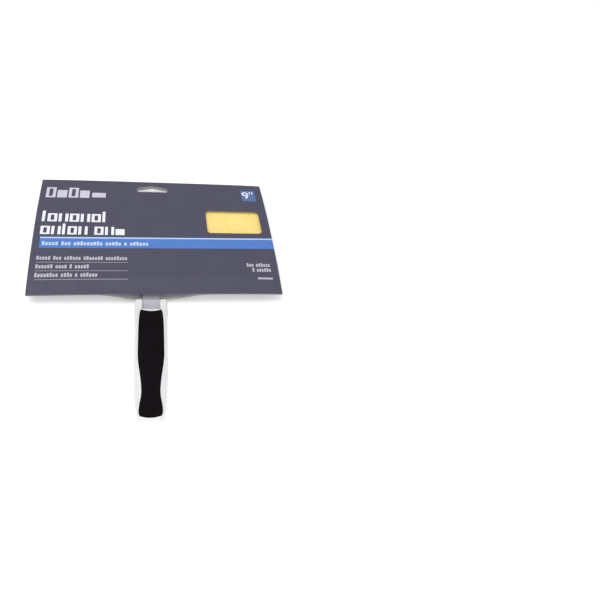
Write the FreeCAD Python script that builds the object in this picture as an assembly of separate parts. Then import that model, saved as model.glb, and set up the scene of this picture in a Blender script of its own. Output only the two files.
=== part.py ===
import FreeCAD, Part
import math
import os
from FreeCAD import Vector

# A nine inch paint pad in its printed card sleeve, lying with the painting face up.
# Millimetres. X runs along the pad, Y from the handle's end to the sleeve's top, Z up.
# The origin is under the middle of the whole thing, on the surface that it lies on.

# Sleeve: a flat tube of folded card
SLEEVE_WIDTH = 256.0
SLEEVE_HEIGHT = 178.0
SLEEVE_THICKNESS = 15.4
CARD = 0.5
FOLD_RADIUS = 2.0
WINDOW_WIDTH = 61.8
WINDOW_HEIGHT = 37.4
WINDOW_RADIUS = 4.0
WINDOW_X = 86.4
WINDOW_FROM_TOP = 70.7
HANG_WIDTH = 37.0
HANG_FLAT_FROM_TOP = 19.4
HANG_SIDE_HEIGHT = 9.2
HANG_PEAK = 3.4
HANG_RADIUS = 3.4
HANG_X = -3.5

# Whole length: the handle stands out below the sleeve's mouth
HANDLE_REACH = 153.0
HALF_LENGTH = (SLEEVE_HEIGHT + HANDLE_REACH) / 2
SLEEVE_MOUTH = HALF_LENGTH - SLEEVE_HEIGHT
HANDLE_END = -HALF_LENGTH

# The whole tool lies a little askew in its sleeve, turned about a point of the handle
TOOL_TURN = -1.1
TOOL_TURN_Y = -85.0

# Pad: a parallelogram with nine inch long edges, the far one shifted to +X
PAD_EDGE = 228.6
PAD_DEPTH = 108.0
PAD_SLANT = 17.3
PAD_FROM_SLEEVE_TOP = 44.0
PAD_X = -1.5
PAD_FAR = HALF_LENGTH - PAD_FROM_SLEEVE_TOP
PAD_NEAR = PAD_FAR - PAD_DEPTH
PAD_CORNER = 3.0
SHARPEST_CORNER = 0.8
FACE_BACK = 10.7
FACE_FRONT = 12.5
FACE_ROUNDING = 1.2
FOAM_INSET = 0.4

# Pad base: a tray open at the back, with a channel for the handle's shoe
BASE_INSET = 1.5
BASE_BACK = 0.8
BASE_FLOOR = 5.6
BASE_FRONT = 7.6
BASE_NEAR = PAD_NEAR + BASE_INSET
BASE_FAR = PAD_FAR - BASE_INSET
RIM = 1.6
RIB = 1.4
RIB_BACK = 2.2
RIB_ROWS = (0.25, 0.5, 0.75)
RIB_COLUMNS = (-88.0, -62.0, -36.0, 36.0, 62.0, 88.0)
CHANNEL_HALF = 29.3
RAIL_WALL = 2.4
RAIL_HALF = CHANNEL_HALF + RAIL_WALL
RAIL_LIP = 2.8
RAIL_LIP_FRONT = 2.5
CHANNEL_LENGTH = 72.0

# Shoe and swivel arm, one moulding
HANDLE_X = -9.0
SHOE_HALF = 29.0
SHOE_BACK = 2.8
SHOE_FRONT = 5.3
SHOE_CORNER = 3.0
SHOE_OVERHANG = 3.5
SHOE_FAR = BASE_NEAR + CHANNEL_LENGTH - 0.6
SHOE_MIDDLE = (BASE_NEAR + SHOE_FAR) / 2
SHOE_WINDOW_WIDTH = 12.9
SHOE_WINDOW_LENGTH = 44.0
POCKET_SKIN = 0.8
ARM_HALF = 8.4
ARM_FRONT = 12.0
ARM_NECK_FRONT = 7.4
ARM_BACK = 4.6
ARM_END = 8.4
SPRING_LENGTH = 42.0
SPRING_WIDTH = 12.0
SPRING_THICKNESS = 0.5

# Swivel: the handle's fork round the arm
PIVOT_Y = -26.3
PIVOT_Z = 8.4
PIN_RADIUS = 2.5
RUNNING_CLEARANCE = 0.05
WASHER_RADIUS = 6.4
WASHER_THICKNESS = 0.8
FORK_INNER = ARM_HALF + WASHER_THICKNESS + 2 * RUNNING_CLEARANCE
FORK_OUTER = 15.9
FORK_RADIUS = 7.8
FORK_STEP = 0.4
FORK_CORNER = 2.4
COUNTERBORE_RADIUS = 4.7
COUNTERBORE_DEPTH = 2.2
PIN_HEAD_RADIUS = 4.3
PIN_HEAD_THICKNESS = 1.6

# Handle: stations along it, as Y, half width, low Z, high Z and corner radius
STATIONS = (
    (-37.4, 16.3, 0.4, 18.4, 3.0),
    (-43.0, 16.1, 0.3, 20.2, 4.0),
    (-54.0, 15.6, 0.1, 22.6, 6.0),
    (-74.0, 15.6, 0.0, 24.0, 7.5),
    (-94.0, 15.7, 0.0, 23.8, 7.5),
    (-114.0, 15.5, 0.6, 22.4, 7.0),
    (-133.0, 14.8, 2.4, 21.0, 6.5),
    (-148.0, 13.7, 4.8, 20.4, 5.5),
    (-158.0, 12.3, 8.5, 19.6, 4.5),
    (-163.2, 10.6, 12.0, 18.8, 3.0),
    (HANDLE_END, 8.4, 14.2, 17.6, 1.5),
)
SLOT_FLOOR = 2.4
SLOT_FLOOR_BACK = 3.3
ARM_SWEEP = math.hypot(ARM_END, 1.6) + 0.35
FORK_ROOT = STATIONS[0][0]
CAVITY_NEAR = -150.0
CAVITY_FAR = -52.0
CAVITY_WALL = 3.2
CAVITY_FLOOR = 4.4
CAVITY_ROOF = 6.6
LID_HALF = 8.4
LID_THICKNESS = 2.4
LID_CLEARANCE = 0.1
SCREW_STATIONS = (-62.0, -100.0, -138.0)
SCREW_RADIUS = 1.4
SCREW_HEAD_RADIUS = 2.7
SCREW_HEAD_THICKNESS = 1.4
SCREW_HEAD_SINK = 0.1
SCREW_BITE = 5.5
BOSS_RADIUS = 3.6

# Soft grip let into the handle's upper face, as Y and half width
GRIP_OUTLINE = (
    (-39.0, 9.8),
    (-43.2, 10.8),
    (-47.0, 11.2),
    (-55.0, 11.7),
    (-68.0, 12.0),
    (-88.0, 12.1),
    (-101.0, 11.9),
    (-110.0, 11.0),
    (-118.7, 9.8),
    (-127.0, 8.9),
    (-135.3, 8.4),
    (-143.0, 8.9),
    (-150.6, 10.1),
    (-155.6, 10.5),
    (-159.0, 10.1),
    (-161.0, 9.0),
)
GRIP_FAR_DIP = 2.9
GRIP_NEAR_SWELL = 1.6
GRIP_PROUD = 0.5
GRIP_DEPTH = 3.0
GRIP_BASE = 12.0

# How near two numbers count as the same
NEAR = 0.01


def box(x_low, x_high, y_low, y_high, z_low, z_high):
    corner = Vector(x_low, y_low, z_low)
    return Part.makeBox(x_high - x_low, y_high - y_low, z_high - z_low, corner)


def handle_box(half, y_low, y_high, z_low, z_high):
    """A box centred across the handle."""
    return box(HANDLE_X - half, HANDLE_X + half, y_low, y_high, z_low, z_high)


def pivot_round(radius, x_low, x_high):
    """A cylinder on the swivel's axis, between two distances from the handle's middle."""
    start = Vector(HANDLE_X + x_low, PIVOT_Y, PIVOT_Z)
    return Part.makeCylinder(radius, x_high - x_low, start, Vector(1, 0, 0))


def post(radius, y, z_low, z_high):
    """An upright cylinder on the handle's middle line."""
    return Part.makeCylinder(radius, z_high - z_low, Vector(HANDLE_X, y, z_low))


def rounded_wire(points, radius):
    """A closed outline through the points, with every corner turned by an arc."""
    arcs = []
    starts = []
    ends = []
    count = len(points)
    for i, corner in enumerate(points):
        back = (points[i - 1] - corner).normalize()
        ahead = (points[(i + 1) % count] - corner).normalize()
        half_angle = back.getAngle(ahead) / 2
        reach = radius / math.tan(half_angle)
        nearest = radius / math.sin(half_angle) - radius
        middle = corner + (back + ahead).normalize() * nearest
        start = corner + back * reach
        end = corner + ahead * reach
        arcs.append(Part.Arc(start, middle, end).toShape())
        starts.append(start)
        ends.append(end)
    edges = []
    for i in range(count):
        edges.append(arcs[i])
        edges.append(Part.LineSegment(ends[i], starts[(i + 1) % count]).toShape())
    return Part.Wire(edges)


def upright_section(x_low, x_high, y, z_low, z_high, radius):
    """A rounded rectangle that stands across the length, as a wire."""
    points = [
        Vector(x_low, y, z_low),
        Vector(x_high, y, z_low),
        Vector(x_high, y, z_high),
        Vector(x_low, y, z_high),
    ]
    return rounded_wire(points, radius)


def prism(points, radius, z_low, z_high):
    """A flat plate with a rounded outline given in XY."""
    outline = rounded_wire([Vector(x, y, z_low) for x, y in points], radius)
    return Part.Face(outline).extrude(Vector(0, 0, z_high - z_low))


def rectangle(x, y, width, height):
    half_width = width / 2
    half_height = height / 2
    return [
        (x - half_width, y - half_height),
        (x + half_width, y - half_height),
        (x + half_width, y + half_height),
        (x - half_width, y + half_height),
    ]


def side_plate(points, half):
    """A plate with its outline in YZ, centred across the handle."""
    corners = [Vector(HANDLE_X - half, y, z) for y, z in points]
    outline = Part.makePolygon(corners + [corners[0]])
    return Part.Face(outline).extrude(Vector(2 * half, 0, 0))


def pad_outline(inset):
    """The pad's parallelogram, drawn in by the same distance on all four edges."""
    slope = PAD_SLANT / PAD_DEPTH
    end_inset = inset * math.sqrt(1 + slope**2)
    half = PAD_EDGE / 2 - end_inset
    near_middle = PAD_X - PAD_SLANT / 2 + slope * inset
    far_middle = PAD_X + PAD_SLANT / 2 - slope * inset
    return [
        (near_middle - half, PAD_NEAR + inset),
        (near_middle + half, PAD_NEAR + inset),
        (far_middle + half, PAD_FAR - inset),
        (far_middle - half, PAD_FAR - inset),
    ]


def pad_layer(inset, z_low, z_high):
    corner = max(PAD_CORNER - inset, SHARPEST_CORNER)
    return prism(pad_outline(inset), corner, z_low, z_high)


def hang_opening(z_low, z_high):
    """The hanging slot: flat below, a low peak above, with round ends."""
    flat_y = HALF_LENGTH - HANG_FLAT_FROM_TOP
    shoulder_y = flat_y + HANG_SIDE_HEIGHT
    half = HANG_WIDTH / 2
    points = [
        (HANG_X - half, flat_y),
        (HANG_X + half, flat_y),
        (HANG_X + half, shoulder_y),
        (HANG_X, shoulder_y + HANG_PEAK),
        (HANG_X - half, shoulder_y),
    ]
    return prism(points, HANG_RADIUS, z_low, z_high)


def folded_tube(inset, y_low, y_high):
    half = SLEEVE_WIDTH / 2 - inset
    high = SLEEVE_THICKNESS - inset
    outline = upright_section(-half, half, y_low, inset, high, FOLD_RADIUS - inset)
    return Part.Face(outline).extrude(Vector(0, y_high - y_low, 0))


def make_card_sleeve():
    tube = folded_tube(0, SLEEVE_MOUTH, HALF_LENGTH)
    hollow = folded_tube(CARD, SLEEVE_MOUTH - 1, HALF_LENGTH + 1)
    window_y = HALF_LENGTH - WINDOW_FROM_TOP
    window_corners = rectangle(WINDOW_X, window_y, WINDOW_WIDTH, WINDOW_HEIGHT)
    window = prism(window_corners, WINDOW_RADIUS, SLEEVE_THICKNESS / 2, SLEEVE_THICKNESS + 1)
    hang = hang_opening(-1, SLEEVE_THICKNESS + 1)
    return tube.cut([hollow, window, hang])


def make_flocked_face():
    cloth = pad_layer(0, FACE_BACK, FACE_FRONT)
    rim = [e for e in cloth.Edges if all(abs(v.Z - FACE_FRONT) < NEAR for v in e.Vertexes)]
    return cloth.makeFillet(FACE_ROUNDING, rim)


def make_foam_pad():
    return pad_layer(FOAM_INSET, BASE_FRONT, FACE_BACK)


def make_base_rails():
    """Two rails that hold the shoe's edges, and the stop at the channel's far end."""
    stop = BASE_NEAR + CHANNEL_LENGTH
    rails = handle_box(RAIL_HALF, BASE_NEAR, stop + RAIL_WALL, BASE_BACK, BASE_FLOOR)
    channel = handle_box(CHANNEL_HALF, BASE_NEAR - 1, stop, RAIL_LIP_FRONT, BASE_FLOOR + 1)
    mouth = handle_box(CHANNEL_HALF - RAIL_LIP, BASE_NEAR - 1, stop, BASE_BACK - 1, BASE_FLOOR)
    return rails.cut([channel, mouth])


def make_base_ribs():
    """A grid of low ribs under the tray's floor, joined to its rim."""
    bars = []
    for part_way in RIB_ROWS:
        y = BASE_NEAR + (BASE_FAR - BASE_NEAR) * part_way
        bars.append(box(-PAD_EDGE, PAD_EDGE, y - RIB / 2, y + RIB / 2, RIB_BACK, BASE_FLOOR))
    for offset in RIB_COLUMNS:
        x = PAD_X + offset
        bars.append(box(x - RIB / 2, x + RIB / 2, BASE_NEAR, BASE_FAR, RIB_BACK, BASE_FLOOR))
    inside = pad_layer(BASE_INSET + RIM / 2, RIB_BACK, BASE_FLOOR)
    return bars[0].fuse(bars[1:]).common(inside)


def make_pad_base():
    tray = pad_layer(BASE_INSET, BASE_BACK, BASE_FRONT)
    hollow = pad_layer(BASE_INSET + RIM, BASE_BACK - 1, BASE_FLOOR)
    room_far = BASE_NEAR + CHANNEL_LENGTH + 0.5
    room = handle_box(RAIL_HALF - 0.5, BASE_NEAR - 2, room_far, BASE_BACK - 1, BASE_FLOOR)
    tray = tray.cut(hollow).fuse(make_base_ribs()).cut(room)
    return tray.fuse(make_base_rails()).removeSplitter()


def make_gusset(side):
    """A flat triangle that stiffens the corner between the shoe and the arm."""
    root = HANDLE_X + side * (ARM_HALF - 0.5)
    tip = HANDLE_X + side * (SHOE_HALF - 6)
    corners = [
        Vector(root, BASE_NEAR - 14, SHOE_BACK),
        Vector(tip, BASE_NEAR - 3, SHOE_BACK),
        Vector(root, BASE_NEAR - 3, SHOE_BACK),
    ]
    outline = Part.makePolygon(corners + [corners[0]])
    return Part.Face(outline).extrude(Vector(0, 0, SHOE_FRONT - SHOE_BACK))


def make_shoe_plate():
    """The flat plate that slides into the base, with a pocket and two lightening windows."""
    near = BASE_NEAR - SHOE_OVERHANG
    length = SHOE_FAR - near
    corners = rectangle(HANDLE_X, near + length / 2, 2 * SHOE_HALF, length)
    plate = prism(corners, SHOE_CORNER, SHOE_BACK, SHOE_FRONT)
    pocket_half = SPRING_LENGTH / 2 + 0.6
    pocket_floor = SHOE_BACK + POCKET_SKIN
    pocket = handle_box(
        SPRING_WIDTH / 2 + 0.4,
        SHOE_MIDDLE - pocket_half,
        SHOE_MIDDLE + pocket_half,
        pocket_floor,
        SHOE_FRONT + 1,
    )
    windows = []
    for side in (-1, 1):
        x = HANDLE_X + side * (SHOE_HALF + ARM_HALF) / 2
        outline = rectangle(x, SHOE_MIDDLE, SHOE_WINDOW_WIDTH, SHOE_WINDOW_LENGTH)
        windows.append(prism(outline, SHOE_CORNER, SHOE_BACK - 1, SHOE_FRONT + 1))
    return plate.cut([pocket] + windows)


def make_swivel_arm():
    profile = [
        (BASE_NEAR, SHOE_BACK),
        (BASE_NEAR, SHOE_FRONT),
        (BASE_NEAR - 6.0, SHOE_FRONT),
        (BASE_NEAR - 13.0, ARM_NECK_FRONT),
        (SLEEVE_MOUTH - 1.5, ARM_NECK_FRONT),
        (SLEEVE_MOUTH - 7.5, ARM_FRONT),
        (PIVOT_Y - 4.6, ARM_FRONT),
        (PIVOT_Y - ARM_END, PIVOT_Z + 0.8),
        (PIVOT_Y - ARM_END, PIVOT_Z - 1.6),
        (PIVOT_Y - 5.6, ARM_BACK),
        (BASE_NEAR - 16.0, ARM_BACK),
        (BASE_NEAR - 12.0, SHOE_BACK),
    ]
    arm = side_plate(profile, ARM_HALF)
    body = make_shoe_plate().fuse([arm, make_gusset(-1), make_gusset(1)])
    pin_hole = pivot_round(PIN_RADIUS + RUNNING_CLEARANCE, -20, 20)
    return body.cut(pin_hole).removeSplitter()


def make_retaining_spring():
    """A bowed leaf in the shoe's pocket. Its crown bears on the base and holds the shoe in."""
    low = SHOE_BACK + POCKET_SKIN + 0.05
    crown = BASE_FLOOR - 0.05
    near = SHOE_MIDDLE - SPRING_LENGTH / 2
    far = SHOE_MIDDLE + SPRING_LENGTH / 2
    x = HANDLE_X - SPRING_WIDTH / 2
    near_back = Vector(x, near, low)
    near_front = Vector(x, near, low + SPRING_THICKNESS)
    far_back = Vector(x, far, low)
    far_front = Vector(x, far, low + SPRING_THICKNESS)
    back_crown = Vector(x, SHOE_MIDDLE, crown - SPRING_THICKNESS)
    front_crown = Vector(x, SHOE_MIDDLE, crown)
    edges = [
        Part.Arc(near_back, back_crown, far_back).toShape(),
        Part.LineSegment(far_back, far_front).toShape(),
        Part.Arc(far_front, front_crown, near_front).toShape(),
        Part.LineSegment(near_front, near_back).toShape(),
    ]
    return Part.Face(Part.Wire(edges)).extrude(Vector(SPRING_WIDTH, 0, 0))


def make_pivot_pin():
    seat = -FORK_OUTER + COUNTERBORE_DEPTH
    shank = pivot_round(PIN_RADIUS, seat, FORK_OUTER - 0.6)
    head = pivot_round(PIN_HEAD_RADIUS, seat - PIN_HEAD_THICKNESS, seat)
    return shank.fuse(head).removeSplitter()


def make_push_nut():
    seat = FORK_OUTER - COUNTERBORE_DEPTH
    disc = pivot_round(PIN_HEAD_RADIUS, seat, seat + 0.5)
    collar = pivot_round(PIN_RADIUS + 0.7, seat, seat + 1.2)
    hole = pivot_round(PIN_RADIUS + 0.01, seat - 1, seat + 2)
    return disc.fuse(collar).cut(hole).removeSplitter()


def make_friction_washers():
    washers = []
    for side in (-1, 1):
        middle = side * (ARM_HALF + FORK_INNER) / 2
        low = middle - WASHER_THICKNESS / 2
        high = middle + WASHER_THICKNESS / 2
        hole = pivot_round(PIN_RADIUS + RUNNING_CLEARANCE, low - 1, high + 1)
        washers.append(pivot_round(WASHER_RADIUS, low, high).cut(hole))
    return Part.makeCompound(washers)


def handle_section(y, half, low, high, corner):
    radius = min(corner, half * 0.9, (high - low) * 0.45)
    return upright_section(HANDLE_X - half, HANDLE_X + half, y, low, high, radius)


def handle_loft(sections):
    return Part.makeLoft([handle_section(*section) for section in sections], True, False)


def station_at(y):
    """Half width, low Z, high Z and corner of the handle at any Y, between the stations."""
    for far, near in zip(STATIONS, STATIONS[1:]):
        if near[0] <= y <= far[0]:
            part_way = (far[0] - y) / (far[0] - near[0])
            return [a + (b - a) * part_way for a, b in zip(far[1:], near[1:])]
    raise ValueError("Y is off the handle")


def low_at(y):
    return station_at(y)[1]


def inner_stations(near, far):
    between = [s[0] for s in STATIONS if near < s[0] < far]
    return [far] + between + [near]


def lid_loft(clearance, down, up):
    """A bar along the handle's back, from below its surface to above it, narrowed by the clearance."""
    sections = []
    for y in inner_stations(CAVITY_NEAR + clearance, CAVITY_FAR - clearance):
        low = low_at(y)
        sections.append((y, LID_HALF - clearance, low - down, low + up, 0.4))
    return handle_loft(sections)


def fork_block():
    """The fork before its slot is cut: a bar round the pivot, rounded at its end and rims."""
    root = FORK_ROOT - 1.5
    root_high = STATIONS[0][3] - FORK_STEP
    lean = math.atan2(root_high - PIVOT_Z, root - PIVOT_Y)
    distance = math.hypot(root_high - PIVOT_Z, root - PIVOT_Y)
    touch = lean - math.acos(FORK_RADIUS / distance)
    x = HANDLE_X - FORK_OUTER
    top_y = PIVOT_Y + FORK_RADIUS * math.cos(touch)
    top = Vector(x, top_y, PIVOT_Z + FORK_RADIUS * math.sin(touch))
    nose = Vector(x, PIVOT_Y + FORK_RADIUS, PIVOT_Z)
    bottom = Vector(x, PIVOT_Y, PIVOT_Z - FORK_RADIUS)
    root_top = Vector(x, root, root_high)
    root_bottom = Vector(x, root, PIVOT_Z - FORK_RADIUS)
    edges = [
        Part.LineSegment(bottom, root_bottom).toShape(),
        Part.LineSegment(root_bottom, root_top).toShape(),
        Part.LineSegment(root_top, top).toShape(),
        Part.Arc(top, nose, bottom).toShape(),
    ]
    block = Part.Face(Part.Wire(edges)).extrude(Vector(2 * FORK_OUTER, 0, 0))
    return block.makeFillet(FORK_CORNER, [e for e in block.Edges if is_fork_rim(e)])


def is_fork_rim(edge):
    """True for the outer edges of the fork's block, except at its root."""
    middle = edge.valueAt((edge.FirstParameter + edge.LastParameter) / 2)
    on_side = abs(abs(middle.x - HANDLE_X) - FORK_OUTER) < NEAR
    return on_side and middle.y > FORK_ROOT - 1.4


def make_fork():
    """Two arms round the pivot, joined at the bottom by the slot's floor, which is clear of the arm."""
    slot = handle_box(FORK_INNER, FORK_ROOT + 0.1, PIVOT_Y + 20, -1, 40)
    floor_low = PIVOT_Z - FORK_RADIUS + 0.1
    floor_far = PIVOT_Y - SLOT_FLOOR_BACK
    floor = handle_box(FORK_INNER + 1, FORK_ROOT - 1, floor_far, floor_low, SLOT_FLOOR)
    sweep = pivot_round(ARM_SWEEP, -FORK_INNER - 2, FORK_INNER + 2)
    return fork_block().cut(slot).fuse(floor.cut(sweep))


def grip_outline(shrink):
    """The grip's outline: one smooth curve down each side, joined by bowed ends."""
    far_y = GRIP_OUTLINE[0][0] - shrink
    near_y = GRIP_OUTLINE[-1][0] + shrink
    halves = [half - shrink for y, half in GRIP_OUTLINE]
    lengths = [far_y] + [y for y, half in GRIP_OUTLINE[1:-1]] + [near_y]
    right = [Vector(HANDLE_X + half, y, GRIP_BASE) for y, half in zip(lengths, halves)]
    left = [Vector(HANDLE_X - half, y, GRIP_BASE) for y, half in zip(lengths, halves)]
    left.reverse()
    right_side = Part.BSplineCurve()
    right_side.interpolate(right)
    left_side = Part.BSplineCurve()
    left_side.interpolate(left)
    far_middle = Vector(HANDLE_X, far_y - GRIP_FAR_DIP, GRIP_BASE)
    near_middle = Vector(HANDLE_X, near_y - GRIP_NEAR_SWELL, GRIP_BASE)
    edges = [
        right_side.toShape(),
        Part.Arc(right[-1], near_middle, left[0]).toShape(),
        left_side.toShape(),
        Part.Arc(left[-1], far_middle, right[0]).toShape(),
    ]
    return Part.Wire(edges)


def grip_column(shrink):
    return Part.Face(grip_outline(shrink)).extrude(Vector(0, 0, 20))


def grip_floor(lift):
    """What lies under the grip: the handle's own shape, lowered by the grip's depth."""
    sections = []
    for y, half, low, high, _ in STATIONS:
        sections.append((y, half + 2, low - 5, high - GRIP_DEPTH + lift, 0.6))
    return handle_loft(sections)


def make_bosses():
    """Posts for the cover's screws, ending just clear of the cover."""
    bosses = []
    for y in SCREW_STATIONS:
        low, high = station_at(y)[1:3]
        bosses.append(post(BOSS_RADIUS, y, low, high - CAVITY_ROOF + 1))
    lid_room = lid_loft(0, 3.0, LID_THICKNESS + LID_CLEARANCE)
    return [boss.cut(lid_room) for boss in bosses]


def make_cavity():
    """The hollow inside the handle and its mouth at the back."""
    sections = []
    for y in inner_stations(CAVITY_NEAR, CAVITY_FAR):
        half, low, high, corner = station_at(y)
        top = high - CAVITY_ROOF
        sections.append((y, half - CAVITY_WALL, low + CAVITY_FLOOR, top, corner - 2.0))
    mouth = lid_loft(0, 3.0, CAVITY_FLOOR + 1.6)
    return handle_loft(sections).fuse(mouth).cut(make_bosses())


def make_handle_body():
    shell = handle_loft(STATIONS).fuse(make_fork())
    pin_hole = pivot_round(PIN_RADIUS + 0.02, -20, 20)
    seat = FORK_OUTER - COUNTERBORE_DEPTH
    left_bore = pivot_round(COUNTERBORE_RADIUS, -FORK_OUTER - 1, -seat)
    right_bore = pivot_round(COUNTERBORE_RADIUS, seat, FORK_OUTER + 1)
    pocket = grip_column(0).cut(grip_floor(0))
    pilots = []
    for y in SCREW_STATIONS:
        lid_top = low_at(y) + LID_THICKNESS
        pilots.append(post(SCREW_RADIUS + 0.02, y, lid_top - 1, lid_top + SCREW_BITE + 0.5))
    return shell.cut([pin_hole, left_bore, right_bore, pocket, make_cavity()] + pilots).removeSplitter()


def make_back_cover():
    holes = []
    for y in SCREW_STATIONS:
        low = low_at(y)
        seat = low + SCREW_HEAD_THICKNESS + SCREW_HEAD_SINK
        holes.append(post(SCREW_RADIUS + 0.1, y, low - 1, low + 4))
        holes.append(post(SCREW_HEAD_RADIUS + 0.1, y, low - 1, seat))
    return lid_loft(LID_CLEARANCE, -0.02, LID_THICKNESS).cut(holes)


def make_cover_screws():
    screws = []
    for y in SCREW_STATIONS:
        low = low_at(y) + SCREW_HEAD_SINK - 0.05
        head = post(SCREW_HEAD_RADIUS, y, low, low + SCREW_HEAD_THICKNESS)
        shank = post(SCREW_RADIUS, y, low + 0.05, low_at(y) + LID_THICKNESS + SCREW_BITE)
        slot = handle_box(1.8, y - 0.35, y + 0.35, low - 1, low + 0.75)
        cross = slot.copy()
        cross.rotate(Vector(HANDLE_X, y, 0), Vector(0, 0, 1), 90)
        screws.append(head.fuse(shank).cut([slot, cross]).removeSplitter())
    return Part.makeCompound(screws)


def make_soft_grip():
    proud = []
    for y, half, low, high, corner in STATIONS:
        proud.append((y, half, low, high + GRIP_PROUD, corner))
    return grip_column(0.05).common(handle_loft(proud)).cut(grip_floor(0.05))


NODES = {
    "card_sleeve": make_card_sleeve,
    "flocked_face": make_flocked_face,
    "foam_pad": make_foam_pad,
    "pad_base": make_pad_base,
    "swivel_arm": make_swivel_arm,
    "retaining_spring": make_retaining_spring,
    "pivot_pin": make_pivot_pin,
    "push_nut": make_push_nut,
    "friction_washers": make_friction_washers,
    "handle_body": make_handle_body,
    "back_cover": make_back_cover,
    "cover_screws": make_cover_screws,
    "soft_grip": make_soft_grip,
}

os.makedirs("parts", exist_ok=True)
for node, make in NODES.items():
    shape = make()
    if node != "card_sleeve":
        shape.rotate(Vector(HANDLE_X, TOOL_TURN_Y, 0), Vector(0, 0, 1), TOOL_TURN)
    shape.exportStep(os.path.join("parts", node + ".step"))
    print(node, "valid", shape.isValid(), "solids", len(shape.Solids), "volume", round(shape.Volume, 1))
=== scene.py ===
import math

import bmesh
import bpy
from mathutils import Matrix, Vector, noise


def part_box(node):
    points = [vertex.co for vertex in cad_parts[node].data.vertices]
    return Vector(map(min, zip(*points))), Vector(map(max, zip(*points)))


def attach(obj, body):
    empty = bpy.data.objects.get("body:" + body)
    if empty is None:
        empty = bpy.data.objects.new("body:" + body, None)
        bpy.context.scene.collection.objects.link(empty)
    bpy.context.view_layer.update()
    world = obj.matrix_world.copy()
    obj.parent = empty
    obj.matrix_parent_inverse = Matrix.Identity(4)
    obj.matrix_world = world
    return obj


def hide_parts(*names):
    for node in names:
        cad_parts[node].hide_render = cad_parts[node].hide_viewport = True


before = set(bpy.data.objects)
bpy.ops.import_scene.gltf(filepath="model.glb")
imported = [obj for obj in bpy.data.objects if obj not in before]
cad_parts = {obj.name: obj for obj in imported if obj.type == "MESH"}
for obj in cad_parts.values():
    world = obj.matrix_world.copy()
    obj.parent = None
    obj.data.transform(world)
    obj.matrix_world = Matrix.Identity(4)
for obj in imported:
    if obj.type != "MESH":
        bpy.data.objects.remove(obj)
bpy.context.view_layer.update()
MM = 0.001

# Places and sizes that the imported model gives
SLEEVE_LOW, SLEEVE_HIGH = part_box("card_sleeve")
FACE_LOW, FACE_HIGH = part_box("flocked_face")
FOAM_LOW, FOAM_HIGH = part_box("foam_pad")
ARM_LOW, ARM_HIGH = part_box("swivel_arm")

# The handle's neck, just to the right of the arm's middle
NECK_SHIFT = 0.5 * MM
NECK_X = ARM_LOW.x + (ARM_HIGH.x - ARM_LOW.x) / 2 + NECK_SHIFT

# The folded card as a straight tube
CARD = 0.5 * MM
FOLD = 2.0 * MM
HALF_WIDTH = (SLEEVE_HIGH.x - SLEEVE_LOW.x) / 2
FLAT_HALF = HALF_WIDTH - FOLD
CARD_TOP = SLEEVE_HIGH.y
CARD_MOUTH = SLEEVE_LOW.y
CARD_FRONT = SLEEVE_HIGH.z
CARD_DEEP = CARD_FRONT - SLEEVE_LOW.z
CARD_LONG = CARD_TOP - CARD_MOUTH
PANEL_STEP = 6 * MM
TUBE_ROWS = 72
FOLD_STEPS = 5
SKIN_REACH = 0.08 * MM

# How its width changes: wider at the mouth than at the top, and leaning to the left at the top
SPREAD = -0.5 * MM
TAPER = 1.3 * MM
BULGE = 0.8 * MM
LEAN = 0.45 * MM

# How its front sinks at the two open ends, from these places along its sides
SIDE_FAR = 87 * MM
SIDE_NEAR = 37 * MM
TOP_SINK = 3.1 * MM
MOUTH_SINK = 2.8 * MM
CORNER_SINK = 3.9 * MM
SINK_FLATNESS = 4

# How its back lifts there: to a narrow gap at the mouth, except beside the handle's neck
PINCH_GAP = 0.5 * MM
NECK_CLEAR = 14 * MM
NECK_RAMP = 42 * MM
NECK_LIFT = 3.6 * MM
TOP_LIFT = 8.4 * MM
TOP_LIFT_START = 4 * MM

# How far its side walls fold in where the front and back come together, and how sharply
FOLD_IN = 0.8
FOLD_SHARPNESS = 0.98

# The printing: its height over the card, and the size of the squares that follow the card's bends
PRINT_LIFT = 0.05 * MM
OVERPRINT_LIFT = 0.1 * MM
PRINT_STEP = 3 * MM
PRINT_FOLD_STEPS = 8

# The window over the pad, and the slot that it hangs by
WINDOW_CENTRE = Vector((86.4 * MM, CARD_TOP - 70.7 * MM))
WINDOW_HALF = Vector((30.9 * MM, 18.7 * MM))
WINDOW_RADIUS = 4.0 * MM
HANG_CENTRE_X = -3.5 * MM
HANG_HALF = 18.5 * MM
HANG_RADIUS = 3.4 * MM
HANG_FLAT = CARD_TOP - 19.4 * MM
HANG_SHOULDER = HANG_FLAT + 9.2 * MM
HANG_PEAK = HANG_SHOULDER + 3.4 * MM

# The pad's parallelogram, turned a little in the sleeve as the whole tool is. The last two numbers
# are powers: the higher, the flatter the crown's middle along the pad and across it
PAD_EDGE = 228.6 * MM
PAD_DEPTH = 108.0 * MM
PAD_SLANT = 17.3 * MM
TOOL_TURN = math.radians(-1.1)
PAD_MIDDLE = (FACE_LOW + FACE_HIGH) / 2
FOAM_GAP = 0.05 * MM
LAYER_COLUMNS = 150
LAYER_ROWS = 72
RIM_STEPS = 5
RIPPLES_PER_METRE = 60
CROWN_ALONG = 6
CROWN_ACROSS = 4

# The angle, in degrees, past which an edge is shaded sharp
CARD_SHARP = 40
PAD_SHARP = 60
NODE_SHARP = 32

# Floor, lights and camera
FLOOR_SIZE = 30
FLOOR_COLOUR = (0.9, 0.9, 0.9)
FLOOR_GLOW = 0.3
WORLD_STRENGTH = 0.64
LENS = 40.55
CAMERA_PLACE = (-0.0187, -0.4823, 0.5378)
CAMERA_TURN = (42.04, -9.67, -9.20)


# ---------------------------------------------------------------- materials


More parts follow.
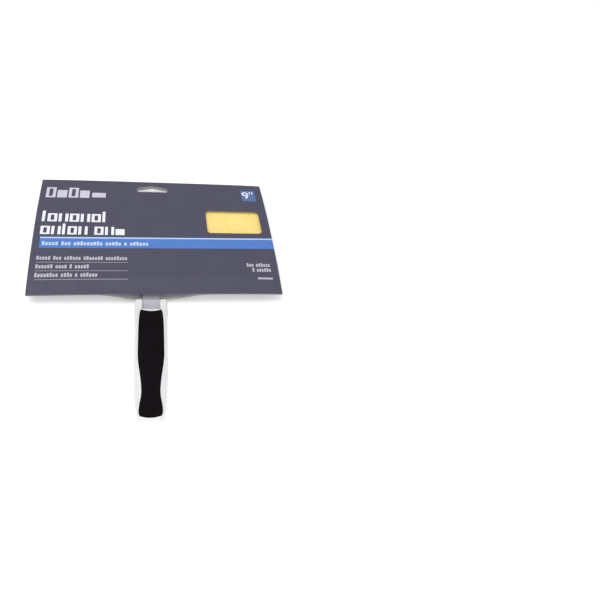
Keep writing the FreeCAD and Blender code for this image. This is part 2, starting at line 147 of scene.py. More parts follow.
def new_material(name, colour, roughness, **sockets):
    """A principled material. Sockets are named as in Coat_Weight, and set on the shader itself."""
    material = bpy.data.materials.new(name)
    material.use_nodes = True
    shader = material.node_tree.nodes["Principled BSDF"]
    shader.inputs["Base Color"].default_value = (*colour, 1)
    shader.inputs["Roughness"].default_value = roughness
    for socket, value in sockets.items():
        shader.inputs[socket.replace("_", " ")].default_value = value
    return material


def object_point(material):
    return material.node_tree.nodes.new("ShaderNodeTexCoord").outputs["Object"]


def stretched_point(material, scale):
    tree = material.node_tree
    mapping = tree.nodes.new("ShaderNodeMapping")
    mapping.inputs["Scale"].default_value = scale
    tree.links.new(object_point(material), mapping.inputs["Vector"])
    return mapping.outputs["Vector"]


def noise_texture(material, scale, detail=3.0, stretch=(1, 1, 1), roughness=0.5):
    tree = material.node_tree
    texture = tree.nodes.new("ShaderNodeTexNoise")
    texture.inputs["Scale"].default_value = scale
    texture.inputs["Detail"].default_value = detail
    texture.inputs["Roughness"].default_value = roughness
    tree.links.new(stretched_point(material, stretch), texture.inputs["Vector"])
    return texture.outputs["Fac"]


def ramp(material, value, stops):
    """A colour ramp over value, with stops of (place, colour)."""
    tree = material.node_tree
    node = tree.nodes.new("ShaderNodeValToRGB")
    tree.links.new(value, node.inputs["Fac"])
    elements = node.color_ramp.elements
    while len(elements) < len(stops):
        elements.new(0.5)
    for element, (place, colour) in zip(elements, stops):
        element.position = place
        element.color = (*colour, 1)
    return node.outputs["Color"]


# The numbers of a mix node's colour sockets, which share their names with its other sockets
MIX_FACTOR = 0
MIX_A = 6
MIX_B = 7
MIX_RESULT = 2


def mix(material, factor, a, b, blend="MIX"):
    """Mixes two colours or outputs by factor."""
    tree = material.node_tree
    node = tree.nodes.new("ShaderNodeMix")
    node.data_type = "RGBA"
    node.blend_type = blend
    for number, value in ((MIX_FACTOR, factor), (MIX_A, a), (MIX_B, b)):
        socket = node.inputs[number]
        if isinstance(value, bpy.types.NodeSocket):
            tree.links.new(value, socket)
        elif isinstance(value, tuple):
            socket.default_value = (*value, 1)
        else:
            socket.default_value = value
    return node.outputs[MIX_RESULT]


def shade(colour, factor):
    return tuple(min(c * factor, 1.0) for c in colour)


def vary(material, colour, scale, amount, stretch=(1, 1, 1)):
    """Colour that drifts lighter and darker by amount."""
    value = noise_texture(material, scale, 4.0, stretch)
    stops = ((0.3, shade(colour, 1 - amount)), (0.7, shade(colour, 1 + amount)))
    return ramp(material, value, stops)


def use_colour(material, output):
    tree = material.node_tree
    tree.links.new(output, tree.nodes["Principled BSDF"].inputs["Base Color"])


def use_roughness(material, value, low, high):
    tree = material.node_tree
    node = tree.nodes.new("ShaderNodeMapRange")
    node.inputs["To Min"].default_value = low
    node.inputs["To Max"].default_value = high
    tree.links.new(value, node.inputs["Value"])
    tree.links.new(node.outputs["Result"], tree.nodes["Principled BSDF"].inputs["Roughness"])


def use_bump(material, value, distance, strength=1.0):
    """Adds a bump over any that the material already has."""
    tree = material.node_tree
    normal = tree.nodes["Principled BSDF"].inputs["Normal"]
    bump = tree.nodes.new("ShaderNodeBump")
    bump.inputs["Distance"].default_value = distance
    bump.inputs["Strength"].default_value = strength
    tree.links.new(value, bump.inputs["Height"])
    if normal.is_linked:
        tree.links.new(normal.links[0].from_socket, bump.inputs["Normal"])
    tree.links.new(bump.outputs["Normal"], normal)


def painted_edge_highlight(material, colour, highlight_colour, amount=0.5):
    """Painted highlight: a lighter colour where the surface turns sharply outward."""
    tree = material.node_tree
    geometry = tree.nodes.new("ShaderNodeNewGeometry")
    stops = ((0.52, (0, 0, 0)), (0.6, (amount,) * 3))
    edge = ramp(material, geometry.outputs["Pointiness"], stops)
    return mix(material, edge, colour, highlight_colour)


def printed_card(name, colour, roughness=0.48):
    """Ink on coated board: faint mottle, fine fibres and light scuffs."""
    gloss = {"Specular_IOR_Level": 0.25, "Coat_Weight": 0.03, "Coat_Roughness": 0.3}
    material = new_material(name, colour, roughness, **gloss)
    scuffs = noise_texture(material, 90, 6.0, (1, 0.25, 1), 0.7)
    scuffed = ramp(material, scuffs, ((0.66, (0, 0, 0)), (0.8, (0.10,) * 3)))
    base = vary(material, colour, 60, 0.05)
    use_colour(material, mix(material, scuffed, base, shade(colour, 1.7)))
    use_roughness(material, noise_texture(material, 35, 4.0), roughness - 0.08, roughness + 0.1)
    use_bump(material, noise_texture(material, 2600, 2.0, (1, 0.4, 1)), 0.00002, 0.5)
    use_bump(material, noise_texture(material, 45, 2.0), 0.0002, 0.25)
    return material


def board(name, colour):
    """Uncoated board: matt, with short fibres and grey flecks."""
    material = new_material(name, colour, 0.9)
    flecks = noise_texture(material, 1500, 2.0, (1, 0.3, 1))
    flecked = ramp(material, flecks, ((0.68, (0, 0, 0)), (0.76, (0.35,) * 3)))
    base = vary(material, colour, 80, 0.05)
    use_colour(material, mix(material, flecked, base, shade(colour, 0.75)))
    use_bump(material, noise_texture(material, 1800, 3.0, (1, 0.3, 1)), 0.00004, 0.6)
    return material


def moulded_plastic(name, colour, roughness, grain=1400, depth=0.00001):
    """Moulded plastic with a fine spark-eroded grain, and slightly paler edges that are a painted
    highlight.
    """
    material = new_material(name, colour, roughness, Coat_Weight=0.08, Coat_Roughness=0.25)
    body = vary(material, colour, 70, 0.02)
    use_colour(material, painted_edge_highlight(material, body, shade(colour, 1.08)))
    use_roughness(material, noise_texture(material, 55, 5.0), roughness - 0.06, roughness + 0.1)
    use_bump(material, noise_texture(material, grain, 2.0), depth, 0.5)
    return material


def soft_rubber(name, colour):
    material = new_material(name, colour, 0.55, Specular_IOR_Level=0.04)
    dust = noise_texture(material, 160, 6.0, (1, 1, 1), 0.7)
    dusty = ramp(material, dust, ((0.55, (0, 0, 0)), (0.8, (0.012,) * 3)))
    base = vary(material, colour, 90, 0.2)
    use_colour(material, mix(material, dusty, base, (0.25, 0.24, 0.25)))
    use_roughness(material, dust, 0.46, 0.66)
    cells = material.node_tree.nodes.new("ShaderNodeTexVoronoi")
    cells.inputs["Scale"].default_value = 1300
    material.node_tree.links.new(object_point(material), cells.inputs["Vector"])
    use_bump(material, cells.outputs["Distance"], 0.00003, 0.5)
    return material


def bright_steel(name, colour, stretch):
    material = new_material(name, colour, 0.28, Metallic=1.0)
    lines = noise_texture(material, 900, 3.0, stretch)
    use_colour(material, vary(material, colour, 120, 0.06))
    use_roughness(material, lines, 0.22, 0.4)
    use_bump(material, lines, 0.00001, 0.4)
    return material


def flock(name, colour, tip):
    """Short dense nylon pile: two sizes of tuft, with paler tips that show at a low angle."""
    sheen = {"Sheen_Weight": 0.9, "Sheen_Roughness": 0.35, "Sheen_Tint": (1.0, 0.93, 0.7, 1)}
    material = new_material(name, colour, 0.95, **sheen)
    tufts = noise_texture(material, 1500, 3.0, (1, 1, 1), 0.6)
    nap = noise_texture(material, 45, 4.0, (1, 2.2, 1))
    base = ramp(material, tufts, ((0.35, shade(colour, 0.9)), (0.65, tip)))
    drift = ramp(material, nap, ((0.35, (0.965, 0.965, 0.965)), (0.65, (1, 1, 1))))
    use_colour(material, mix(material, 1.0, base, drift, "MULTIPLY"))
    use_bump(material, tufts, 0.0003, 0.5)
    use_bump(material, nap, 0.0004, 0.15)
    return material


def open_foam(name, colour):
    depth = {"Subsurface_Weight": 0.15, "Subsurface_Radius": (0.002, 0.0016, 0.001)}
    material = new_material(name, colour, 0.95, **depth)
    cells = material.node_tree.nodes.new("ShaderNodeTexVoronoi")
    cells.inputs["Scale"].default_value = 1100
    material.node_tree.links.new(object_point(material), cells.inputs["Vector"])
    # The pores' darker middles are painted shade inside the open cells
    pore_shade = ramp(material, cells.outputs["Distance"], ((0.1, shade(colour, 0.7)), (0.5, colour)))
    use_colour(material, mix(material, 0.6, vary(material, colour, 60, 0.05), pore_shade))
    use_bump(material, cells.outputs["Distance"], 0.0003, 0.9)
    return material


slate = printed_card("slate_print", (0.0685, 0.0665, 0.1055))
blue = printed_card("blue_print", (0.077, 0.197, 0.56))
badge_blue = printed_card("badge_blue", (0.087, 0.163, 0.375))
pale_blue_ink = printed_card("pale_blue_ink", (0.52, 0.64, 0.83))
pale_line_ink = printed_card("pale_line_ink", (0.46, 0.61, 0.97))
white_ink = printed_card("white_ink", (0.82, 0.83, 0.88))
lilac_ink = printed_card("lilac_ink", (0.60, 0.585, 0.71))
grey_ink = printed_card("grey_ink", (0.46, 0.455, 0.52))
inside_board = board("inside_board", (0.58, 0.58, 0.59))
# Painted shade: the card's cut edges are coloured near black to stand for the shade along them
shaded_cut_edge = board("shaded_cut_edge", (0.15, 0.145, 0.16))
white_plastic = moulded_plastic("white_moulding", (0.72, 0.72, 0.735), 0.36)
grey_plastic = moulded_plastic("grey_moulding", (0.42, 0.42, 0.48), 0.42)
base_plastic = moulded_plastic("base_moulding", (0.74, 0.74, 0.76), 0.42)
natural_nylon = moulded_plastic("natural_nylon", (0.72, 0.70, 0.62), 0.45)
black_rubber = soft_rubber("black_rubber", (0.0045, 0.003, 0.0045))
zinc = bright_steel("bright_zinc", (0.62, 0.63, 0.65), (1, 12, 12))
spring = bright_steel("spring_steel", (0.45, 0.45, 0.46), (12, 1, 12))
yellow_flock = flock("yellow_flock", (0.97, 0.69, 0.13), (1.0, 0.85, 0.365))
pale_foam = open_foam("pale_foam", (0.90, 0.74, 0.36))


# ---------------------------------------------------------------- mesh helpers


def new_piece(name, mesh_data, materials):
    piece = bpy.data.objects.new(name, mesh_data)
    bpy.context.scene.collection.objects.link(piece)
    for material in materials:
        mesh_data.materials.append(material)
    return piece


def piece_from_bmesh(name, shape, materials):
    data = bpy.data.meshes.new(name)
    shape.to_mesh(data)
    shape.free()
    for polygon in data.polygons:
        polygon.use_smooth = True
    return new_piece(name, data, materials)


def smooth_by_angle(piece, degrees):
    piece.data.set_sharp_from_angle(angle=math.radians(degrees))


def apply_modifiers(piece):
    evaluated = piece.evaluated_get(bpy.context.evaluated_depsgraph_get())
    data = bpy.data.meshes.new_from_object(evaluated)
    piece.modifiers.clear()
    old = piece.data
    piece.data = data
    bpy.data.meshes.remove(old)


def rounded_outline(points, radius, steps=6):
    """Points of a closed outline with its corners turned by arcs."""
    outline = []
    count = len(points)
    for i in range(count):
        corner = Vector(points[i])
        back = (Vector(points[i - 1]) - corner).normalized()
        ahead = (Vector(points[(i + 1) % count]) - corner).normalized()
        half_angle = back.angle(ahead) / 2
        reach = radius / math.tan(half_angle)
        centre = corner + (back + ahead).normalized() * (radius / math.sin(half_angle))
        start = corner + back * reach - centre
        end = corner + ahead * reach - centre
        turn = start.angle_signed(end)
        for step in range(steps + 1):
            outline.append(centre + Matrix.Rotation(-turn * step / steps, 2) @ start)
    return outline


def prism(outline, low, high):
    """A closed prism over an outline in XY."""
    shape = bmesh.new()
    bottom = [shape.verts.new((p.x, p.y, low)) for p in outline]
    top = [shape.verts.new((p.x, p.y, high)) for p in outline]
    shape.faces.new(bottom[::-1])
    shape.faces.new(top)
    count = len(outline)
    for i in range(count):
        j = (i + 1) % count
        shape.faces.new((bottom[i], bottom[j], top[j], top[i]))
    bmesh.ops.recalc_face_normals(shape, faces=shape.faces)
    return shape


def cut(piece, tool):
    """Cuts tool out of piece, for good."""
    modifier = piece.modifiers.new("cut", "BOOLEAN")
    modifier.operation = "DIFFERENCE"
    modifier.solver = "EXACT"
    modifier.object = tool
    apply_modifiers(piece)
    bpy.data.objects.remove(tool)


def limit(t):
    return min(max(t, 0.0), 1.0)


def ease(t):
    t = limit(t)
    return t * t * (3 - 2 * t)


# ---------------------------------------------------------------- the card sleeve


def square(value):
    return max(value, 0.0) ** 2


def front_dip(x, y):
    """How far the front panel sinks at its two open ends, most at the corners."""
    top_middle = TOP_SINK * ease((y - FACE_HIGH.y) / (CARD_TOP - FACE_HIGH.y))
    mouth_middle = MOUTH_SINK * ease((FACE_LOW.y - y) / (FACE_LOW.y - CARD_MOUTH))
    top_side = CORNER_SINK * square((y - SIDE_FAR) / (CARD_TOP - SIDE_FAR))
    mouth_side = CORNER_SINK * square((SIDE_NEAR - y) / (SIDE_NEAR - CARD_MOUTH))
    middle = top_middle + mouth_middle
    across = min(abs(x) / HALF_WIDTH, 1.0) ** SINK_FLATNESS
    return middle + (top_side + mouth_side - middle) * across


def back_rise(x, y):
    """How far the back panel lifts towards the front at the ends, less under the handle's neck."""
    closed = CARD_DEEP - 2 * CARD - PINCH_GAP - front_dip(x, y)
    beside_neck = ease((abs(x - NECK_X) - NECK_CLEAR) / NECK_RAMP)
    at_mouth = ease((FACE_LOW.y - y) / (FACE_LOW.y - CARD_MOUTH))
    top_start = FACE_HIGH.y + TOP_LIFT_START
    at_top = ease((y - top_start) / (CARD_TOP - top_start))
    return at_mouth * (NECK_LIFT + (closed - NECK_LIFT) * beside_neck) + at_top * TOP_LIFT


def card_bend(point):
    """Where a point of the straight tube goes once the card lies on the pad, with pinched ends."""
    height = point.z - SLEEVE_LOW.z
    upward = limit((height - CARD) / (CARD_DEEP - 2 * CARD))
    up_the_side = limit((height - FOLD) / (CARD_DEEP - 2 * FOLD))
    dip = front_dip(point.x, point.y)
    rise = back_rise(point.x, point.y)
    half_deep = CARD_DEEP / 2
    half_left = half_deep - (dip + rise) / 2
    fold_in = FOLD_IN * math.sqrt(max(half_deep**2 - half_left**2, 0.0))
    from_middle = (2 * up_the_side - 1) ** 2
    fold_shape = 1.0 - math.sqrt(from_middle * FOLD_SHARPNESS + 1 - FOLD_SHARPNESS)
    side = math.copysign(1, point.x)
    towards_mouth = ((CARD_TOP + CARD_MOUTH) / 2 - point.y) / CARD_LONG * 2
    wider = SPREAD + TAPER * towards_mouth + BULGE * (1 - towards_mouth**2)
    x = point.x * (1 + wider / HALF_WIDTH) + LEAN * towards_mouth - side * fold_in * fold_shape
    z = point.z + rise * (1 - upward) - dip * upward
    return Vector((x, point.y, z))


def on_card(across, along, lift):
    """A point of the printed front. Past the folds, across goes on down the side walls."""
    beyond = abs(across) - FLAT_HALF
    sign = math.copysign(1, across)
    reach = FOLD + lift
    fold_centre = CARD_FRONT - FOLD
    fold_arc = FOLD * math.pi / 2
    if beyond <= 0:
        return card_bend(Vector((across, along, CARD_FRONT + lift)))
    if beyond >= fold_arc:
        down = beyond - fold_arc
        return card_bend(Vector((sign * (HALF_WIDTH + lift), along, fold_centre - down)))
    angle = beyond / FOLD
    x = sign * (FLAT_HALF + reach * math.sin(angle))
    return card_bend(Vector((x, along, fold_centre + reach * math.cos(angle))))


def tube_outline(inset):
    """The tube's section in XZ, with fine steps on the wide panels."""
    x_low, x_high = -HALF_WIDTH + inset, HALF_WIDTH - inset
    z_low, z_high = SLEEVE_LOW.z + inset, CARD_FRONT - inset
    corners = [(x_low, z_low), (x_high, z_low), (x_high, z_high), (x_low, z_high)]
    rough = rounded_outline(corners, FOLD - inset, FOLD_STEPS)
    outline = []
    for i, start in enumerate(rough):
        end = rough[(i + 1) % len(rough)]
        parts = max(1, round((end - start).length / PANEL_STEP))
        outline.extend(start.lerp(end, part / parts) for part in range(parts))
    return outline


def straight_tube():
    """A closed tube of card, drawn between its outer and inner skins."""
    shape = bmesh.new()
    skins = []
    for inset in (0.0, CARD):
        outline = tube_outline(inset)
        skin = []
        for row in range(TUBE_ROWS + 1):
            y = CARD_MOUTH + CARD_LONG * row / TUBE_ROWS
            skin.append([shape.verts.new((p.x, y, p.y)) for p in outline])
        skins.append(skin)
    count = len(skins[0][0])
    for skin in skins:
        for a, b in zip(skin, skin[1:]):
            for i in range(count):
                j = (i + 1) % count
                shape.faces.new((a[i], a[j], b[j], b[i]))
    for row in (0, TUBE_ROWS):
        a, b = skins[0][row], skins[1][row]
        for i in range(count):
            j = (i + 1) % count
            shape.faces.new((a[i], a[j], b[j], b[i]))
    bmesh.ops.recalc_face_normals(shape, faces=shape.faces)
    return shape


def tube_depth(point):
    """How far a point lies inside the tube's outer skin."""
    centre_z = (SLEEVE_LOW.z + CARD_FRONT) / 2
    dx = abs(point.x) - FLAT_HALF
    dz = abs(point.z - centre_z) - (CARD_DEEP / 2 - FOLD)
    outside = math.hypot(max(dx, 0), max(dz, 0)) + min(max(dx, dz), 0)
    return FOLD - outside


def window_outline():
    x, y = WINDOW_CENTRE
    dx, dy = WINDOW_HALF
    corners = [(x - dx, y - dy), (x + dx, y - dy), (x + dx, y + dy), (x - dx, y + dy)]
    return rounded_outline(corners, WINDOW_RADIUS)


def hang_outline():
    left, right = HANG_CENTRE_X - HANG_HALF, HANG_CENTRE_X + HANG_HALF
    bottom = [(left, HANG_FLAT), (right, HANG_FLAT)]
    top = [(right, HANG_SHOULDER), (HANG_CENTRE_X, HANG_PEAK), (left, HANG_SHOULDER)]
    return rounded_outline(bottom + top, HANG_RADIUS)


def card_side(depth):
    """The number of the material at this depth in the card: print, inside board, or the cut edge,
    which is coloured with painted shade.
    """
    if depth < SKIN_REACH:
        return 0
    return 1 if depth > CARD - SKIN_REACH else 2


def make_card_sleeve():
    """The printed sleeve, cut while it is straight and then bent."""
    materials = [slate, inside_board, shaded_cut_edge]
    piece = piece_from_bmesh("printed_card_sleeve", straight_tube(), materials)
    below = SLEEVE_LOW.z - FOLD
    middle = (SLEEVE_LOW.z + CARD_FRONT) / 2
    above = CARD_FRONT + FOLD
    cut(piece, piece_from_bmesh("window_tool", prism(window_outline(), middle, above), []))
    cut(piece, piece_from_bmesh("hang_tool", prism(hang_outline(), below, above), []))
    for polygon in piece.data.polygons:
        polygon.material_index = card_side(tube_depth(polygon.center))
        polygon.use_smooth = True
    for vertex in piece.data.vertices:
        vertex.co = card_bend(vertex.co)
    smooth_by_angle(piece, CARD_SHARP)
    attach(piece, "sleeve")
    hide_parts("card_sleeve")


# ---------------------------------------------------------------- the printing


def ribbon(shape, line, width, lift):
    """A strip of the given width along a line of (across, along) points on the card."""
    count = len(line)
    edges = []
    for i, place in enumerate(line):
        ahead = line[min(i + 1, count - 1)] - line[max(i - 1, 0)]
        sideways = Vector((-ahead.y, ahead.x)).normalized() * width / 2
        points = [on_card(*(place + sideways * part), lift) for part in (-1, 0, 1)]
        edges.append([shape.verts.new(point) for point in points])
    for a, b in zip(edges, edges[1:]):
        for i in range(2):
            shape.faces.new((a[i], b[i], b[i + 1], a[i + 1]))


def places_across(left, right):
    """Places from left to right, a print step apart and closer round the folds."""
    columns = max(1, round((right - left) / PRINT_STEP))
    places = {left + (right - left) * column / columns for column in range(columns + 1)}
    for step in range(PRINT_FOLD_STEPS + 1):
        turned = FLAT_HALF + FOLD * math.pi / 2 * step / PRINT_FOLD_STEPS
        places.update(place for place in (-turned, turned) if left < place < right)
    return sorted(places)


def patch_grid(shape, area, lift, tilt):
    """An area of (left, right, low, high) on the card, in small squares that follow its bends."""
    left, right, low, high = area
    rows = max(1, round((high - low) / PRINT_STEP))
    places = places_across(left, right)
    columns = len(places) - 1
    grid = []
    for row in range(rows + 1):
        along = low + (high - low) * row / rows
        points = [on_card(across, along + tilt * across, lift) for across in places]
        grid.append([shape.verts.new(point) for point in points])
    for a, b in zip(grid, grid[1:]):
        for i in range(columns):
            shape.faces.new((a[i], a[i + 1], b[i + 1], b[i]))


def inked(name, material, patches=(), ribbons=(), lift=PRINT_LIFT, tilt=0.0):
    """One printed colour: patches, which rise to the right by tilt, and (line, width) ribbons."""
    shape = bmesh.new()
    for area in patches:
        patch_grid(shape, area, lift, tilt)
    for line, width in ribbons:
        ribbon(shape, line, width, lift)
    bmesh.ops.recalc_face_normals(shape, faces=shape.faces)
    if sum(face.normal.z for face in shape.faces) < 0:
        bmesh.ops.reverse_faces(shape, faces=shape.faces)
    piece = piece_from_bmesh(name, shape, [material])
    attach(piece, "sleeve")


def from_top(distance):
    return CARD_TOP - distance * MM


def patch(left, right, top, bottom):
    """A patch given in millimetres from the card's middle and its top edge."""
    return (left * MM, right * MM, from_top(bottom), from_top(top))


# Plain marks stand for the letters. These are shares of a mark's width, height, stroke or pitch
BAR_WIDTH = 0.72
STROKE_WIDTH = 0.31
STROKE_HEIGHT = 0.2
STROKE_FLAT = 0.8
SHORT_TOP = 0.24
NARROW_STEP = 0.5
MARK_GAP = 0.14
WORD_GAP = 0.5

# The same for the small print
FINE_WIDTH = 0.74
FINE_GAP = 0.8
FINE_TOPS = (0.0, 0.24, 0.2, 0.24, 0.1)


def mock_block(left, right, top, bottom, kind):
    """A letter-sized mark that is no letter: a bar, two bars, a hollow block or a low full one."""
    width, height = right - left, bottom - top
    stroke = min(width * STROKE_WIDTH, height * STROKE_HEIGHT)
    middle = top + height * SHORT_TOP
    if kind == 0:
        return [patch(left, left + width * BAR_WIDTH, top, bottom)]
    inner = (left + stroke, right - stroke)
    sides = [patch(left, inner[0], middle, bottom), patch(inner[1], right, middle, bottom)]
    if kind == 1:
        return sides
    if kind == 2:
        flat = stroke * STROKE_FLAT
        return sides + [patch(*inner, middle, middle + flat), patch(*inner, bottom - flat, bottom)]
    return [patch(left, right, middle + height * STROKE_HEIGHT, bottom)]


def mock_words(left, top, bottom, pitch, words):
    """A row of letter-sized marks in groups. Each word is a string of the kinds of its marks."""
    patches = []
    x = left
    for word in words.split():
        for kind in word:
            step = pitch * (NARROW_STEP if kind == "0" else 1.0)
            patches += mock_block(x, x + step - pitch * MARK_GAP, top, bottom, int(kind))
            x += step
        x += pitch * WORD_GAP
    return patches


def fine_words(left, right, top, bottom, words):
    """A row of plain blocks for print too small to have marks, with word lengths in letters."""
    pitch = (right - left) / (sum(words) + FINE_GAP * (len(words) - 1))
    patches = []
    x = left
    number = 0
    for word in words:
        for _ in range(word):
            drop = (bottom - top) * FINE_TOPS[number % len(FINE_TOPS)]
            patches.append(patch(x, x + pitch * FINE_WIDTH, top + drop, bottom))
            x += pitch
            number += 1
        x += pitch * FINE_GAP
    return patches


def arc_line(centre, radius, start, end, steps=28):
    """Points round part of an ellipse, in degrees, with radius as (across, along)."""
    line = []
    for step in range(steps + 1):
        angle = math.radians(start + (end - start) * step / steps)
        line.append(centre + Vector((radius[0] * math.cos(angle), radius[1] * math.sin(angle))))
    return line


def straight_line(start, end, steps=4):
    return [start.lerp(end, step / steps) for step in range(steps + 1)]


def size_numeral():
    """The numeral nine and an inch mark."""
    middle = Vector((106.6 * MM, from_top(18.3)))
    tail_middle = middle + Vector((-1.2 * MM, 0))
    stroke, tick_stroke = 2.2 * MM, 1.4 * MM
    bowl = arc_line(middle, (2.9 * MM, 3.0 * MM), 0, 360, 32)
    tail = arc_line(tail_middle, (4.1 * MM, 8.4 * MM), 0, -78, 20)
    marks = [(bowl, stroke), (tail, stroke)]
    for x in (112.6, 115.6):
        top, bottom = (Vector((x * MM, from_top(drop))) for drop in (13.6, 18.0))
        marks.append((straight_line(top, bottom), tick_stroke))
    return marks


# The print's left margin, and the band's two ends, the right one on the side wall, in millimetres
LEFT = -121.0
BAND_LEFT = LEFT + 1
BAND_RIGHT = HALF_WIDTH / MM + 9.0
BAND_TILT = 0.0072


def make_printing():
    """The printing, laid out in millimetres from the card's middle and its top edge."""
    inked("blue_band", blue, [patch(BAND_LEFT, BAND_RIGHT, 100.8, 114.8)], tilt=BAND_TILT)
    inked("thin_line", pale_line_ink, [patch(BAND_LEFT, BAND_RIGHT, 98.2, 100.4)], tilt=BAND_TILT)
    title = mock_words(LEFT, 57.6, 74.8, 11.4, "0212120")
    title += mock_words(LEFT, 78, 94.9, 11.0, "21021 213")
    inked("title_marks", white_ink, title)
    band_words = fine_words(-117.5, -9, 105.0, 110.8, (5, 3, 9, 5, 1, 6))
    inked("band_words", pale_blue_ink, band_words, lift=OVERPRINT_LIFT, tilt=BAND_TILT)
    bullets = fine_words(LEFT, -31, 127.4, 132.9, (5, 3, 6, 7, 8))
    bullets += fine_words(LEFT, -69, 139.4, 144.9, (6, 4, 1, 5))
    bullets += fine_words(LEFT, -60.3, 151, 156.6, (8, 4, 1, 6))
    inked("bullet_words", grey_ink, bullets)
    inked("dividers", grey_ink, [patch(LEFT, -30.7, t, t + 0.5) for t in (136.1, 148.0, 159.5)])
    small = fine_words(93.5, 119.5, 136.4, 141.8, (3, 6))
    small += fine_words(99, 119.6, 143.6, 149.0, (1, 6))
    inked("small_words", grey_ink, small + [patch(103.4, 119.8, 157.2, 159.6)])
    inked("size_badge", badge_blue, [patch(101.6, 118.8, 11.0, 32.2)])
    inked("size_numeral", white_ink, ribbons=size_numeral(), lift=OVERPRINT_LIFT)
    maker_marks = mock_words(LEFT, 9.0, 34.2, 12.2, "2323") + [patch(-71, -56, 24, 33)]
    inked("maker_marks", lilac_ink, maker_marks)


make_card_sleeve()
make_printing()


# ---------------------------------------------------------------- the pad


def pad_point(along_edge, depth_part, inset):
    """A point of the pad's outline drawn in by inset, with both shares from 0 to 1."""
    slope = PAD_SLANT / PAD_DEPTH
    end_inset = inset * math.sqrt(1 + slope**2)
    y = (PAD_DEPTH - 2 * inset) * (depth_part - 0.5)
    x = (PAD_EDGE - 2 * end_inset) * (along_edge - 0.5) + slope * y
    place = Matrix.Rotation(TOOL_TURN, 2) @ Vector((x, y))
    return Vector((PAD_MIDDLE.x + place.x, PAD_MIDDLE.y + place.y, 0))


def make_layer(name, material, low, high, side_inset=0.0, crown=0.0, roll=0.0, ripple=0.0):
    """A soft layer with a rolled rim, slightly crowned, with a fine uneven surface."""
    columns, rows = LAYER_COLUMNS, LAYER_ROWS
    shape = bmesh.new()
    top = []
    for row in range(rows + 1):
        line = []
        for column in range(columns + 1):
            a, b = column / columns, row / rows
            point = pad_point(a, b, side_inset + roll)
            rise = crown * (1 - (2 * a - 1) ** CROWN_ALONG) * (1 - (2 * b - 1) ** CROWN_ACROSS)
            wave = noise.noise(point * RIPPLES_PER_METRE) * ripple
            line.append(shape.verts.new((point.x, point.y, high - crown + rise + wave)))
        top.append(line)
    for a, b in zip(top, top[1:]):
        for i in range(columns):
            shape.faces.new((a[i], a[i + 1], b[i + 1], b[i]))
    ring = top[0][:] + [line[-1] for line in top[1:]]
    ring += top[-1][-2::-1] + [line[0] for line in top[-2:0:-1]]
    places = [(c / columns, 0.0) for c in range(columns + 1)]
    places += [(1.0, r / rows) for r in range(1, rows + 1)]
    places += [(c / columns, 1.0) for c in range(columns - 1, -1, -1)]
    places += [(0.0, r / rows) for r in range(rows - 1, 0, -1)]
    previous = ring
    for step in range(1, RIM_STEPS + 1):
        angle = math.pi / 2 * step / RIM_STEPS
        inset = side_inset + roll * (1 - math.sin(angle))
        z = high - crown - roll * (1 - math.cos(angle))
        current = []
        for a, b in places:
            point = pad_point(a, b, inset)
            current.append(shape.verts.new((point.x, point.y, z)))
        join_rings(shape, previous, current)
        previous = current
    bottom = [shape.verts.new((v.co.x, v.co.y, low)) for v in previous]
    join_rings(shape, previous, bottom)
    shape.faces.new(bottom)
    bmesh.ops.recalc_face_normals(shape, faces=shape.faces)
    piece = piece_from_bmesh(name, shape, [material])
    smooth_by_angle(piece, PAD_SHARP)
    return piece


def join_rings(shape, outer, inner):
    count = len(outer)
    for i in range(count):
        j = (i + 1) % count
        shape.faces.new((outer[i], outer[j], inner[j], inner[i]))


def make_pad():
    foam_top = FOAM_HIGH.z - FOAM_GAP
    foam_shape = {"side_inset": 0.5 * MM, "roll": 0.8 * MM}
    foam = make_layer("foam_layer", pale_foam, FOAM_LOW.z, foam_top, **foam_shape)
    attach(foam, "pad")
    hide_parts("foam_pad")
    face_shape = {"crown": 0.25 * MM, "roll": 1.4 * MM, "ripple": 0.06 * MM}
    face = make_layer("flocked_cloth", yellow_flock, FACE_LOW.z, FACE_HIGH.z, **face_shape)
    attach(face, "pad")
    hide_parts("flocked_face")


make_pad()


# ---------------------------------------------------------------- carried-over pieces


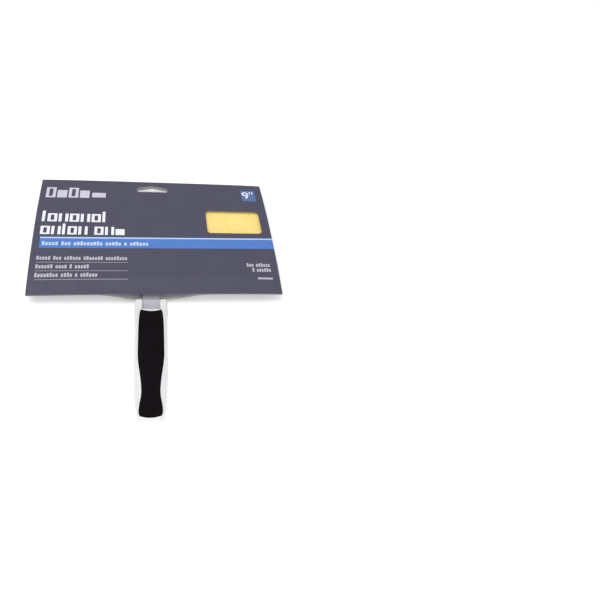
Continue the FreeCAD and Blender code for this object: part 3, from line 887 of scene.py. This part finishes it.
def finish_node(name, material):
    """Gives a CAD node its material, and smooth shading between its sharp edges."""
    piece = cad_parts[name]
    piece.data.materials.clear()
    piece.data.materials.append(material)
    for polygon in piece.data.polygons:
        polygon.use_smooth = True
        polygon.material_index = 0
    smooth_by_angle(piece, NODE_SHARP)


for node, material in (
    ("pad_base", base_plastic),
    ("swivel_arm", grey_plastic),
    ("retaining_spring", spring),
    ("pivot_pin", zinc),
    ("push_nut", zinc),
    ("friction_washers", natural_nylon),
    ("handle_body", white_plastic),
    ("back_cover", white_plastic),
    ("cover_screws", zinc),
    ("soft_grip", black_rubber),
):
    finish_node(node, material)


# ---------------------------------------------------------------- floor, light and camera


def make_floor():
    bpy.ops.mesh.primitive_plane_add(size=FLOOR_SIZE, location=(0, 0, 0))
    floor = bpy.context.object
    floor.name = "floor"
    glow = {"Emission_Color": (1, 1, 1, 1), "Emission_Strength": FLOOR_GLOW}
    material = new_material("pale_floor", FLOOR_COLOUR, 0.85, **glow)
    use_colour(material, vary(material, FLOOR_COLOUR, 3, 0.01))
    floor.data.materials.append(material)


def make_area_light(name, location, size, power):
    """A square light that points at the middle of the floor."""
    data = bpy.data.lights.new(name, "AREA")
    data.size = size
    data.energy = power
    light = bpy.data.objects.new(name, data)
    light.location = location
    light.rotation_euler = (-Vector(location)).to_track_quat("-Z", "Y").to_euler()
    bpy.context.scene.collection.objects.link(light)


def make_world():
    world = bpy.data.worlds.new("soft_studio")
    world.use_nodes = True
    background = world.node_tree.nodes["Background"]
    background.inputs["Color"].default_value = (1, 1, 1, 1)
    background.inputs["Strength"].default_value = WORLD_STRENGTH
    bpy.context.scene.world = world


def make_camera():
    data = bpy.data.cameras.new("camera")
    data.lens = LENS
    camera = bpy.data.objects.new("camera", data)
    camera.location = CAMERA_PLACE
    camera.rotation_euler = [math.radians(angle) for angle in CAMERA_TURN]
    bpy.context.scene.collection.objects.link(camera)
    bpy.context.scene.camera = camera


make_floor()
make_world()
make_area_light("overhead", (-0.35, 0.12, 1.3), size=1.1, power=8.5)
make_area_light("front", (0.15, -1.1, 0.5), size=0.9, power=5.5)
make_camera()
bpy.context.scene.view_settings.view_transform = "Standard"
